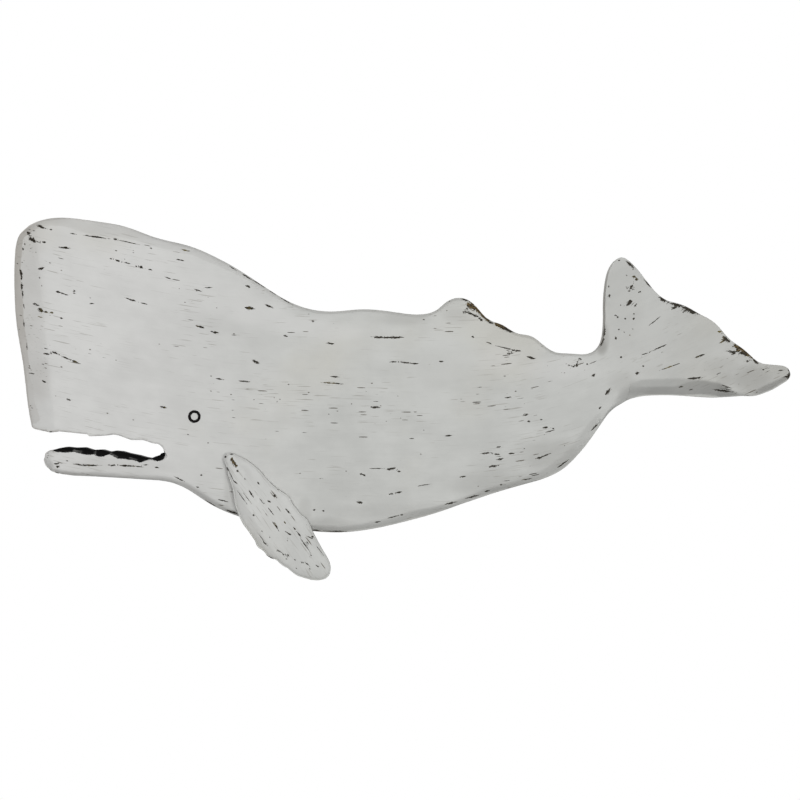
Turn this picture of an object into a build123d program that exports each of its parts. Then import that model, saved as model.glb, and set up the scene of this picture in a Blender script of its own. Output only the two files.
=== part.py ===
from build123d import *
import math
import os

# A carved wooden sperm whale that hangs on a wall. Millimetres, +Z up, the head towards -X and the painted
# face towards -Y. The origin is on the flat back, midway between the hinge lines of the two hanger rings.

# Whole carving
whale_length = 1000.0
whale_height = 467.0
body_thickness = 45.0
edge_round = 10.0
glue_gap = 0.1
cut_overrun = 5.0

# Head
jaw_tip_turn = 120.0
snout_facet_width = 30.0
snout_facet_drop = 9.0
lip_bevel_width = 7.0
lip_bevel_depth = 12.0

# Tail flukes
fluke_tip_thickness = 28.0
fluke_edge_round = 4.0
fluke_edge_pieces = 10
fluke_bevel_width = 23.0
fluke_bevel_depth = 15.0

# Pectoral fin
fin_length = 204.0
fin_width = 73.0
fin_thickness = 14.0
fin_edge_round = 4.0
fin_angle = 53.5

# Eye
eye_ring_radius = 8.1
eye_ring_wall = 3.5
eye_ring_length = 10.0
eye_ring_proud = 0.6
eye_fit = 0.1

# Dowels
dowel_radius = 5.0
dowel_length = 44.0
tail_dowel_length = 56.0
fin_dowel_radius = 4.0
fin_dowel_depth = 20.0
fin_dowel_reach = 8.0

# Hangers
hanger_spacing = 400.0
ring_width = 22.0
ring_height = 20.0
ring_corner = 3.0
ring_side_gap = 1.5
ring_floor_gap = 0.3
wire_radius = 1.25
hinge_clearance = 0.08
strap_length = 44.0
strap_sheet = 1.0
pocket_depth = 10.0
pocket_margin = 6.0
pocket_corner = 6.0
pocket_land = 8.0

# Hanger screws
screw_radius = 1.75
screw_length = 16.0
screw_point = 4.0
screw_head_radius = 3.5
screw_head_height = 2.4
screw_head_round = 1.6
screw_first = 14.0
screw_pitch = 20.0
screws_per_strap = 2
screw_fit = 0.05
strap_hole_clearance = 0.3
cross_width = 1.0
cross_reach = 4.2
cross_depth = 1.4

# Where the origin, the eye and the fin's root lie, as shares of the length and of the height
origin_share = (0.394, 0.623)
eye_share = (0.232, 0.452)
fin_root_share = (0.277, 0.350)

# The round of the jaw's tip, as a share of the height
jaw_tip_radius_share = 0.0343

# The outline, as shares of the length from the snout and of the height from the fin's tip
back_shares = [
    (0.022, 0.421), (0.017, 0.486), (0.011, 0.602), (0.003, 0.704), (0.000, 0.807), (0.001, 0.906),
    (0.007, 0.956), (0.028, 0.989), (0.064, 1.000), (0.104, 0.990), (0.143, 0.976), (0.181, 0.947),
    (0.224, 0.924), (0.263, 0.887), (0.304, 0.833), (0.345, 0.778), (0.378, 0.750), (0.410, 0.742),
    (0.445, 0.748), (0.494, 0.739), (0.524, 0.734), (0.544, 0.746), (0.557, 0.769), (0.573, 0.780),
    (0.587, 0.771), (0.610, 0.722), (0.629, 0.702), (0.647, 0.680), (0.663, 0.676), (0.681, 0.651),
    (0.698, 0.629), (0.716, 0.626), (0.735, 0.624), (0.747, 0.631),
]
fluke_shares = [
    (0.747, 0.631), (0.755, 0.653), (0.759, 0.693), (0.759, 0.760), (0.762, 0.838), (0.770, 0.877),
    (0.781, 0.892), (0.791, 0.880), (0.805, 0.847), (0.821, 0.804), (0.837, 0.777), (0.863, 0.760),
    (0.882, 0.738), (0.905, 0.703), (0.923, 0.661), (0.942, 0.635), (0.959, 0.605), (0.983, 0.596),
    (0.9965, 0.583), (0.9985, 0.562), (0.985, 0.539), (0.955, 0.514), (0.901, 0.504), (0.857, 0.510),
    (0.822, 0.510), (0.801, 0.504), (0.783, 0.487),
]
belly_shares = [
    (0.783, 0.487), (0.767, 0.462), (0.753, 0.420), (0.733, 0.367), (0.713, 0.321), (0.692, 0.289),
    (0.651, 0.262), (0.601, 0.230), (0.552, 0.191), (0.503, 0.161), (0.453, 0.138), (0.410, 0.131),
    (0.368, 0.139), (0.323, 0.155), (0.289, 0.175), (0.246, 0.217), (0.221, 0.252), (0.195, 0.273),
    (0.146, 0.280), (0.055, 0.2915),
]
jaw_lip_shares = [(0.067, 0.366), (0.110, 0.358), (0.150, 0.350), (0.186, 0.341)]
upper_lip_shares = [(0.190, 0.370), (0.150, 0.388), (0.110, 0.400), (0.060, 0.409), (0.022, 0.421)]

# The bevel under the right fluke, along its upper line from the root to where it runs out
fluke_bevel_shares = [(0.800, 0.556), (0.945, 0.516)]

# The fin's outline, as shares of its length from the root and of its width either side of its middle line
fin_shares = [
    (0.025, -0.145), (-0.004, -0.06), (0.004, 0.03), (0.040, 0.10), (0.095, 0.18), (0.184, 0.25), (0.306, 0.32),
    (0.427, 0.39), (0.596, 0.415), (0.764, 0.345), (0.869, 0.31), (0.959, 0.245), (0.998, 0.08), (0.968, -0.12),
    (0.919, -0.24), (0.856, -0.33), (0.768, -0.39), (0.669, -0.50), (0.561, -0.555), (0.361, -0.515),
    (0.275, -0.44), (0.208, -0.34), (0.103, -0.23),
]

# Dowel places, as shares of the whale's length, of the tail joint's length and of the fin's sizes
upper_dowel_shares = [0.06, 0.19, 0.31, 0.572]
lower_dowel_shares = [0.10, 0.31, 0.51, 0.70]
tail_dowel_shares = [0.22, 0.53]
fin_dowel_shares = [(0.15, -0.02), (0.34, -0.08)]

# Worked out from the sizes above
face_y = -body_thickness
jaw_tip_radius = jaw_tip_radius_share * whale_height
middle_y = face_y / 2
pocket_floor = -pocket_depth
bore_radius = wire_radius + hinge_clearance
barrel_radius = bore_radius + strap_sheet
hinge_y = pocket_floor + barrel_radius
strap_thickness = 2 * strap_sheet
strap_top = pocket_floor + strap_thickness
strap_width = ring_width - 2 * (ring_corner + ring_side_gap)
ring_lean = math.degrees(math.asin((barrel_radius - wire_radius - ring_floor_gap) / ring_height))
pocket_width = ring_width + 2 * (wire_radius + pocket_margin)
pocket_top = ring_height + wire_radius + pocket_margin
pocket_bottom = -strap_length - pocket_margin
upper_joint_z = pocket_top + pocket_land
lower_joint_z = pocket_bottom - pocket_land
eye_hole_radius = eye_ring_radius - eye_ring_wall
hanger_places = {"left": -hanger_spacing / 2, "right": hanger_spacing / 2}
forward = Vector(0, -1, 0)
backward = Vector(0, 1, 0)


def flat_point(share):
    along_share, up_share = share
    return Vector((along_share - origin_share[0]) * whale_length, (up_share - origin_share[1]) * whale_height)


def whale_point(share, y=0):
    flat = flat_point(share)
    return Vector(flat.X, y, flat.Y)


def flat_curve(shares):
    return Spline(*[flat_point(share) for share in shares])


def rod(radius, length, start, direction):
    return extrude(Plane(origin=start, z_dir=direction) * Circle(radius), length)


def front_face(solid):
    return solid.faces().filter_by(GeomType.PLANE).sort_by(Axis.Y)[0]


# The tail joint is one straight glue line, square to the grain of the flukes
tail_joint_top = whale_point(back_shares[-1])
tail_joint_foot = whale_point(belly_shares[0])
tail_joint_length = (tail_joint_foot - tail_joint_top).length
tail_joint_down = (tail_joint_foot - tail_joint_top).normalized()
tail_joint_out = forward.cross(tail_joint_down)
fluke_reach = max((whale_point(share) - tail_joint_top).dot(tail_joint_out) for share in fluke_shares)
fluke_lean = tail_joint_out * ((body_thickness - fluke_tip_thickness) / fluke_reach)


def body_blank():
    belly = flat_curve(belly_shares)
    jaw_tip = JernArc(belly @ 1, belly % 1, jaw_tip_radius, -jaw_tip_turn)
    jaw_lip = Spline(jaw_tip @ 1, *[flat_point(share) for share in jaw_lip_shares])
    upper_lip = flat_curve(upper_lip_shares)
    mouth_end = Line(jaw_lip @ 1, upper_lip @ 0)
    tail_joint = Line(flat_point(back_shares[-1]), flat_point(belly_shares[0]))
    outline = [flat_curve(back_shares), tail_joint, belly, jaw_tip, jaw_lip, mouth_end, upper_lip]
    return extrude(Plane.XZ * make_face(outline), body_thickness, dir=forward)


def snout_facet_plane():
    # The facet follows the straight front of the snout, which ends below the forehead's round
    top = whale_point(back_shares[5], face_y)
    foot = whale_point(back_shares[0], face_y)
    down = (foot - top).normalized()
    inward = down.cross(backward)
    outward = forward * snout_facet_width - inward * snout_facet_drop
    return Plane(origin=top + inward * snout_facet_width, x_dir=down, z_dir=outward)


def bevel_wedge(start, end, turn, width, depth):
    # A three-sided cutter along a line on the face: the bevel starts at the line and falls to its depth
    along = (end - start).normalized()
    section = Plane(origin=start - along * cut_overrun, x_dir=along.cross(turn), z_dir=along)
    back_sign = section.y_dir.dot(backward)
    slope = back_sign * depth / width
    far = width + cut_overrun
    corners = [(-cut_overrun, -cut_overrun * slope), (far, far * slope), (far, -cut_overrun * slope)]
    return extrude(section * make_face(Polyline(*corners, close=True)), (end - start).length + 2 * cut_overrun)


def carved_body():
    body = body_blank()
    body = fillet(front_face(body).edges().sort_by(Axis.Z)[-1], edge_round)
    body = fillet(front_face(body).edges().sort_by(Axis.Z)[0], edge_round)
    lip_start = whale_point(jaw_lip_shares[0], face_y) + Vector(0, 0, -lip_bevel_width)
    lip_end = whale_point(jaw_lip_shares[-1], face_y) + Vector(0, 0, -lip_bevel_width)
    body -= bevel_wedge(lip_start, lip_end, backward, lip_bevel_width, lip_bevel_depth)
    return split(body, snout_facet_plane(), Keep.BOTTOM)


def fluke_face_point(share):
    place = whale_point(share)
    return whale_point(share, face_y + (place - tail_joint_top).dot(fluke_lean))


def carved_flukes():
    outline = flat_curve(fluke_shares)
    knots = [step / fluke_edge_pieces for step in range(fluke_edge_pieces + 1)]
    edges = [outline.trim(start, end) for start, end in zip(knots, knots[1:])]
    joint = Line(outline @ 1, outline @ 0)
    flukes = extrude(Plane.XZ * make_face([*edges, joint]), body_thickness, dir=forward)
    flukes = fillet(front_face(flukes).edges().filter_by(GeomType.BSPLINE), fluke_edge_round)
    # The rounded blank leans back towards the tips, then its back is planed flat
    lean_row = [fluke_lean.X, 1, fluke_lean.Z, -tail_joint_top.dot(fluke_lean)]
    lean = Matrix([[1, 0, 0, 0], lean_row, [0, 0, 1, 0], [0, 0, 0, 1]])
    flukes = split(flukes.transform_geometry(lean), Plane.XZ, Keep.TOP)
    start, end = [fluke_face_point(share) for share in fluke_bevel_shares]
    return flukes - bevel_wedge(start, end, forward, fluke_bevel_width, fluke_bevel_depth)


def fin_plane():
    turn = math.radians(fin_angle)
    along = (math.cos(turn), 0, -math.sin(turn))
    return Plane(origin=whale_point(fin_root_share, face_y), x_dir=along, z_dir=forward)


def fin_place(share):
    return fin_plane().from_local_coords(Vector(share[0] * fin_length, share[1] * fin_width))


def carved_fin():
    outline = Spline(*[(along * fin_length, across * fin_width) for along, across in fin_shares], periodic=True)
    fin = extrude(fin_plane() * make_face(outline), fin_thickness, dir=forward)
    return fillet(front_face(fin).edges(), fin_edge_round)


def eye_tube(inner, outer, start_y, length):
    centre = whale_point(eye_share, start_y)
    return rod(outer, length, centre, backward) - rod(inner, length, centre, backward)


def board_dowels(joint_z, shares, fit):
    length = dowel_length + 2 * fit
    places = [(share - origin_share[0]) * whale_length for share in shares]
    return [rod(dowel_radius + fit, length, (x, middle_y, joint_z - length / 2), (0, 0, 1)) for x in places]


def tail_dowels(fit):
    length = tail_dowel_length + 2 * fit
    places = [tail_joint_top + tail_joint_down * tail_joint_length * share for share in tail_dowel_shares]
    starts = [place + forward * (fluke_tip_thickness / 2) - tail_joint_out * (length / 2) for place in places]
    return [rod(dowel_radius + fit, length, start, tail_joint_out) for start in starts]


def fin_dowels(fit):
    starts = [fin_place(share) + forward * (fin_dowel_reach + fit) for share in fin_dowel_shares]
    length = fin_dowel_reach + fin_dowel_depth + 2 * fit
    return [rod(fin_dowel_radius + fit, length, start, backward) for start in starts]


def hanger_pocket(x):
    height = pocket_top - pocket_bottom
    centre = Vector(x, pocket_floor, (pocket_top + pocket_bottom) / 2)
    floor = Plane(origin=centre, x_dir=(1, 0, 0), z_dir=backward)
    return extrude(floor * RectangleRounded(pocket_width, height, pocket_corner), pocket_depth + cut_overrun)


def screw_places(x, y):
    return [Vector(x, y, -screw_first - step * screw_pitch) for step in range(screws_per_strap)]


def hanger_strap(x):
    floor = Plane(origin=(x, pocket_floor, 0), x_dir=(1, 0, 0), z_dir=backward)
    end_radius = strap_width / 2
    leaf_length = strap_length - end_radius
    leaf = Rectangle(strap_width, leaf_length, align=(Align.CENTER, Align.MIN))
    leaf += Pos(0, leaf_length) * Circle(end_radius)
    strap = extrude(floor * leaf, strap_thickness)
    hinge = Vector(x - strap_width / 2, hinge_y, 0)
    strap += rod(barrel_radius, strap_width, hinge, (1, 0, 0))
    strap -= rod(bore_radius, strap_width, hinge, (1, 0, 0))
    for place in screw_places(x, pocket_floor):
        strap -= rod(screw_radius + strap_hole_clearance, strap_thickness, place, backward)
    return strap


def hanger_ring(x):
    half = ring_width / 2
    corners = [(-half, ring_height - half), (-half, 0), (half, 0), (half, ring_height - half)]
    sides = FilletPolyline(*corners, radius=ring_corner)
    crown = ThreePointArc(corners[-1], (0, ring_height), corners[0])
    stand = Plane(origin=(x, hinge_y, 0), x_dir=(1, 0, 0), z_dir=forward).rotated((ring_lean, 0, 0))
    wire = stand * (Wire(sides.edges() + crown.edges()))
    section = Plane(origin=wire @ 0, z_dir=wire % 0) * Circle(wire_radius)
    return sweep(section, wire)


def hanger_screw(place):
    head_plane = Plane(origin=place, x_dir=(1, 0, 0), z_dir=backward)
    head = extrude(head_plane * Circle(screw_head_radius), screw_head_height)
    head = fillet(head.edges().sort_by(Axis.Y)[-1], screw_head_round)
    for width, reach in ((cross_width, cross_reach), (cross_reach, cross_width)):
        slot = extrude(head_plane * Rectangle(width, reach), cross_depth)
        head -= Pos(0, screw_head_height - cross_depth, 0) * slot
    shank_length = screw_length - screw_point
    shank = rod(screw_radius, shank_length, place, forward)
    point_plane = Plane(origin=place + forward * shank_length, z_dir=forward)
    point = point_plane * Cone(screw_radius, 0, screw_point, align=(Align.CENTER, Align.CENTER, Align.MIN))
    return head + shank + point


def pilot_hole(place):
    return rod(screw_radius + screw_fit, screw_length + screw_fit, place, forward)


def build_nodes():
    body = carved_body()
    groove_depth = eye_ring_length - eye_ring_proud
    body -= eye_tube(eye_hole_radius - eye_fit, eye_ring_radius + eye_fit, face_y, groove_depth)
    body -= board_dowels(upper_joint_z, upper_dowel_shares, glue_gap)
    body -= board_dowels(lower_joint_z, lower_dowel_shares, glue_gap)
    body -= tail_dowels(glue_gap) + fin_dowels(glue_gap)
    for x in hanger_places.values():
        body -= hanger_pocket(x)
        body -= [pilot_hole(place) for place in screw_places(x, strap_top)]

    upper_plane = Plane.XY.offset(upper_joint_z)
    lower_plane = Plane.XY.offset(lower_joint_z)
    below = split(body, upper_plane, Keep.BOTTOM)
    nodes = {
        "upper_board": split(body, upper_plane, Keep.TOP),
        "middle_board": split(below, lower_plane, Keep.TOP),
        "lower_board": split(below, lower_plane, Keep.BOTTOM),
        "tail_flukes": carved_flukes() - tail_dowels(glue_gap),
        "pectoral_fin": carved_fin() - fin_dowels(glue_gap),
        "eye_ring": eye_tube(eye_hole_radius, eye_ring_radius, face_y - eye_ring_proud, eye_ring_length),
        "upper_joint_dowels": Compound(board_dowels(upper_joint_z, upper_dowel_shares, 0)),
        "lower_joint_dowels": Compound(board_dowels(lower_joint_z, lower_dowel_shares, 0)),
        "tail_dowels": Compound(tail_dowels(0)),
        "fin_dowels": Compound(fin_dowels(0)),
    }
    for side, x in hanger_places.items():
        nodes[side + "_hanger_strap"] = hanger_strap(x)
        nodes[side + "_hanger_ring"] = hanger_ring(x)
        nodes[side + "_hanger_screws"] = Compound([hanger_screw(place) for place in screw_places(x, strap_top)])
    return nodes


os.makedirs("parts", exist_ok=True)
for name, shape in build_nodes().items():
    export_step(shape, "parts/" + name + ".step")
    print(name, len(shape.solids()), "solids")
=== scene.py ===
import math
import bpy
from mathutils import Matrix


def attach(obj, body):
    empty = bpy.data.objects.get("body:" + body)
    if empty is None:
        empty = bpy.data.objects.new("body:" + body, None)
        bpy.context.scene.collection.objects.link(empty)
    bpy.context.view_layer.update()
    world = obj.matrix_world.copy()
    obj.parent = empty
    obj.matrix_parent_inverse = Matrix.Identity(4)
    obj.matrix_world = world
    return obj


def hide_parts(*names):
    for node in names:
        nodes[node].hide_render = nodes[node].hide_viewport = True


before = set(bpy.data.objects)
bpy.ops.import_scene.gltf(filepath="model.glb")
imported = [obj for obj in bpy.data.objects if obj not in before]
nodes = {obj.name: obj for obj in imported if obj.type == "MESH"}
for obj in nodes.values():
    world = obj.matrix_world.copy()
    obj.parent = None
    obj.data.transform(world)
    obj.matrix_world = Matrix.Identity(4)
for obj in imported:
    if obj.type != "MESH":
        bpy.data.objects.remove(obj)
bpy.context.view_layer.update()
from types import SimpleNamespace
import bmesh
import bpy
import numpy as np
from mathutils import Vector, kdtree, noise

scene = bpy.context.scene

# Where a place in the picture, in its pixels, lies on the whale, in metres
picture = {"originX": 320.2, "originY": 354.5, "pixelX": 0.001288, "pixelZ": 0.001289}


def onWhale(px, py):
    return (px - picture["originX"]) * picture["pixelX"], (picture["originY"] - py) * picture["pixelZ"]


def eastOf(px):
    return onWhale(px, 0)[0]


def traced(line):
    return np.array([onWhale(*p) for p in line])


def polylineHeight(x, line):
    points = traced(line)
    return np.interp(x, points[:, 0], points[:, 1])


def mergedCopy(names):
    bm = bmesh.new()
    for name in names:
        bm.from_mesh(nodes[name].data)
    bmesh.ops.remove_doubles(bm, verts=bm.verts, dist=1e-6)
    return bm


def voxelSkin(bm, name, voxel, smoothRounds):
    rough = bpy.data.meshes.new(name + "Rough")
    bm.to_mesh(rough)
    bm.free()
    holder = bpy.data.objects.new(name + "Rough", rough)
    scene.collection.objects.link(holder)
    remesh = holder.modifiers.new("skin", "REMESH")
    remesh.mode = "VOXEL"
    remesh.voxel_size = voxel
    skin = bpy.data.meshes.new_from_object(holder.evaluated_get(bpy.context.evaluated_depsgraph_get()))
    bpy.data.objects.remove(holder)
    bpy.data.meshes.remove(rough)
    bm = bmesh.new()
    bm.from_mesh(skin)
    for _ in range(smoothRounds):
        bmesh.ops.smooth_vert(bm, verts=bm.verts, factor=0.5, use_axis_x=True, use_axis_y=True, use_axis_z=True)
    for face in bm.faces:
        face.smooth = True
    bm.to_mesh(skin)
    bm.free()
    return skin


def readPoints(mesh):
    places = np.zeros(len(mesh.vertices) * 3)
    normals = np.zeros(len(mesh.vertices) * 3)
    mesh.vertices.foreach_get("co", places)
    mesh.vertices.foreach_get("normal", normals)
    return places.reshape(-1, 3), normals.reshape(-1, 3)


def writePoints(mesh, places):
    mesh.vertices.foreach_set("co", places.astype(np.float32).ravel())
    mesh.update()


def writeValue(mesh, name, values):
    layer = mesh.attributes.new(name, "FLOAT", "POINT")
    layer.data.foreach_set("value", np.asarray(values, np.float32))


def writeVector(mesh, name, values):
    layer = mesh.attributes.new(name, "FLOAT_VECTOR", "POINT")
    layer.data.foreach_set("vector", np.asarray(values, np.float32).ravel())


def ease(values, low, high):
    share = np.clip((values - low) / (high - low), 0, 1)
    return share * share * (3 - 2 * share)


def noiseAt(places, sizeX, sizeY, sizeZ, shift=0.0):
    scaled = places / np.array([sizeX, sizeY, sizeZ]) + shift
    return np.array([noise.noise(Vector(p)) for p in scaled])


def nearestWall(places, normals, isWall):
    # for each point, how far off the nearest side wall is, and that wall's place and normal
    tree = kdtree.KDTree(int(isWall.sum()))
    for index, p in enumerate(places[isWall]):
        tree.insert((p[0], 0.0, p[2]), index)
    tree.balance()
    found = [tree.find((p[0], 0.0, p[2])) for p in places]
    rim = np.array([f[2] for f in found])
    wall = np.array([f[1] for f in found])
    return rim, places[isWall][wall], normals[isWall][wall]


def strokeMask(places, strokes):
    # 1 in the middle of a stroke, falling to 0 beyond its sides
    mask = np.zeros(len(places))
    for x0, y0, x1, y1, width in strokes:
        start, end = traced(((x0, y0), (x1, y1)))
        run = end - start
        flat = places[:, [0, 2]] - start
        share = np.clip(flat @ run / max(run @ run, 1e-9), 0, 1)
        gap = np.linalg.norm(flat - share[:, None] * run, axis=1)
        mask = np.maximum(mask, np.clip(1.5 - gap / (width * picture["pixelX"] * 0.5), 0, 1.3))
    return mask


def strokeCoordinates(places, strokes):
    # for each point, its place along and across the nearest stroke, and how far outside it lies
    best = np.full(len(places), 1e3)
    coordinates = np.zeros((len(places), 3))
    for x0, y0, x1, y1, width in strokes:
        start, end = traced(((x0, y0), (x1, y1)))
        length = np.linalg.norm(end - start)
        half = max(length / 2 + 0.2 * width * picture["pixelX"], 0.0009)
        halfWidth = width * picture["pixelX"] * 0.5
        along = (end - start) / length
        flat = places[:, [0, 2]] - (start + end) / 2
        u, v = flat @ along, flat @ np.array([-along[1], along[0]])
        gap = np.hypot(np.maximum(np.abs(u) - half, 0), v) - halfWidth
        nearer = gap < best
        best[nearer] = gap[nearer]
        values = np.stack([u / half, v / halfWidth, gap * 1000], axis=1)
        coordinates[nearer] = np.clip(values, -9, 9)[nearer]
    return coordinates


def relax(mesh, values, weight, rounds=24, pull=0.6):
    # evens out a value between neighbouring points, by the weight
    ends = np.zeros(len(mesh.edges) * 2, dtype=np.int32)
    mesh.edges.foreach_get("vertices", ends)
    first, second = ends.reshape(-1, 2).T
    count = len(values)
    neighbours = np.bincount(ends, minlength=count)
    for _ in range(rounds):
        total = np.bincount(first, values[second], minlength=count)
        total = total + np.bincount(second, values[first], minlength=count)
        values = values + pull * weight * (total / neighbours - values)
    return values


def softPatches(x, z, patches):
    strength = np.zeros(len(x))
    for px, py, reachX, reachY, amount in patches:
        centreX, centreZ = onWhale(px, py)
        overX, overZ = (x - centreX) / (reachX * picture["pixelX"]), (z - centreZ) / (reachY * picture["pixelZ"])
        strength = np.maximum(strength, amount * np.exp(-0.7 * (overX ** 2 + overZ ** 2) ** 2))
    return strength


def nudgeOutline(places, shifts):
    moved = places.copy()
    for px, py, reachX, reachY, shiftX, shiftY in shifts:
        amount = softPatches(places[:, 0], places[:, 2], [(px, py, reachX, reachY, 1.0)])
        moved[:, 0] += amount * shiftX * picture["pixelX"]
        moved[:, 2] -= amount * shiftY * picture["pixelZ"]
    return moved


def cutPiece(mesh, name, planes):
    bm = bmesh.new()
    bm.from_mesh(mesh)
    for point, direction in planes:  # keeps the side that the direction points to
        everything = bm.verts[:] + bm.edges[:] + bm.faces[:]
        bmesh.ops.bisect_plane(bm, geom=everything, dist=1e-7, plane_co=point, plane_no=direction, clear_inner=True)
        rim = [edge for edge in bm.edges if edge.is_boundary]
        bmesh.ops.holes_fill(bm, edges=rim, sides=0)
        for edge in rim:
            edge.smooth = False
    piece = bpy.data.meshes.new(name)
    bm.to_mesh(piece)
    bm.free()
    return piece


def addPiece(mesh, name, material, node):
    piece = bpy.data.objects.new(name, mesh)
    scene.collection.objects.link(piece)
    mesh.materials.clear()
    mesh.materials.append(material)
    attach(piece, "whale")
    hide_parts(node)
    print(name, len(mesh.vertices), "points")


class Wire:
    def __init__(self, tree, socket=None):
        self.tree = tree
        self.socket = socket

    def feed(self, place, value):
        if isinstance(value, Wire):
            self.tree.links.new(value.socket, place)
        else:
            place.default_value = value

    def node(self, kind, settings=None, sockets=None, output=0):
        made = self.tree.nodes.new(kind)
        for key, value in (settings or {}).items():
            setattr(made, key, value)
        for key, value in (sockets or {}).items():
            self.feed(made.inputs[key], value)
        return Wire(self.tree, made.outputs[output])

    def math(self, operation, first, second):
        return self.node("ShaderNodeMath", {"operation": operation}, {0: first, 1: second})

    def __add__(self, other):
        return self.math("ADD", self, other)

    def __radd__(self, other):
        return self.math("ADD", other, self)

    def __sub__(self, other):
        return self.math("SUBTRACT", self, other)

    def __rsub__(self, other):
        return self.math("SUBTRACT", other, self)

    def __mul__(self, other):
        return self.math("MULTIPLY", self, other)

    def __rmul__(self, other):
        return self.math("MULTIPLY", other, self)

    def step(self, low, high):
        sockets = {"Value": self, "From Min": low, "From Max": high, "To Min": 0.0, "To Max": 1.0}
        return self.node("ShaderNodeMapRange", {"interpolation_type": "SMOOTHSTEP"}, sockets)

    def stretch(self, x, y, z):
        return self.node("ShaderNodeVectorMath", {"operation": "MULTIPLY"}, {0: self, 1: (x, y, z)})

    def grain(self, detail=2.0, roughness=0.5, scale=1.0):
        sockets = {"Vector": self, "Scale": scale, "Detail": detail, "Roughness": roughness}
        return self.node("ShaderNodeTexNoise", {}, sockets)

    def cells(self):
        near = self.node("ShaderNodeTexVoronoi", {}, {"Vector": self, "Scale": 1.0}, "Distance")
        return near, Wire(self.tree, near.socket.node.outputs["Color"])

    def part(self, name):
        return self.node("ShaderNodeSeparateColor", {}, {"Color": self}, name)

    def blend(self, first, second):
        sockets = {0: self, 6: first, 7: second}
        return self.node("ShaderNodeMix", {"data_type": "RGBA"}, sockets, output=2)


def tone(red, green, blue):
    # a colour as seen on the screen, 0 to 255, made linear
    shares = [c / 255 for c in (red, green, blue)]
    return tuple(s / 12.92 if s < 0.0405 else ((s + 0.055) / 1.055) ** 2.4 for s in shares) + (1.0,)


def newMaterial(name):
    material = bpy.data.materials.new(name)
    material.use_nodes = True
    tree = material.node_tree
    shader = next(n for n in tree.nodes if n.type == "BSDF_PRINCIPLED")
    return material, Wire(tree), shader


# The paint's tones, near the head and towards the tail (TailDimmed, darker as painted fall-off of light; Far for the
# umber), and how strongly its marks show
whitewash = {
    "light": tone(210, 210, 208), "lightTailDimmed": tone(200, 201, 198),
    "dull": tone(198, 198, 196), "dullTailDimmed": tone(186, 187, 184),
    "stain": tone(190, 187, 176), "thin": tone(146, 143, 136),
    # cut and the warm one beside it are tones of painted shade, for bevels, facets, walls and hollows
    "cut": tone(128, 126, 121), "shadeWarm": tone(132, 122, 110),
    "umber": tone(44, 40, 34), "umberFar": tone(54, 51, 45), "grey": tone(112, 108, 100), "olive": tone(98, 88, 50),
    "bare": tone(102, 87, 57), "black": tone(13, 13, 13), "smear": tone(150, 150, 148),
    "backWood": tone(146, 112, 78), "backDark": tone(114, 84, 57),
    "stainShare": 0.4, "hairShare": 0.45, "haloShare": 0.25, "scratchShare": 0.62, "smearShare": 0.8,
    "roughness": 0.62, "specular": 0.1, "bumpStrength": 0.35, "bumpDepth": 0.0006,
}


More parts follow.
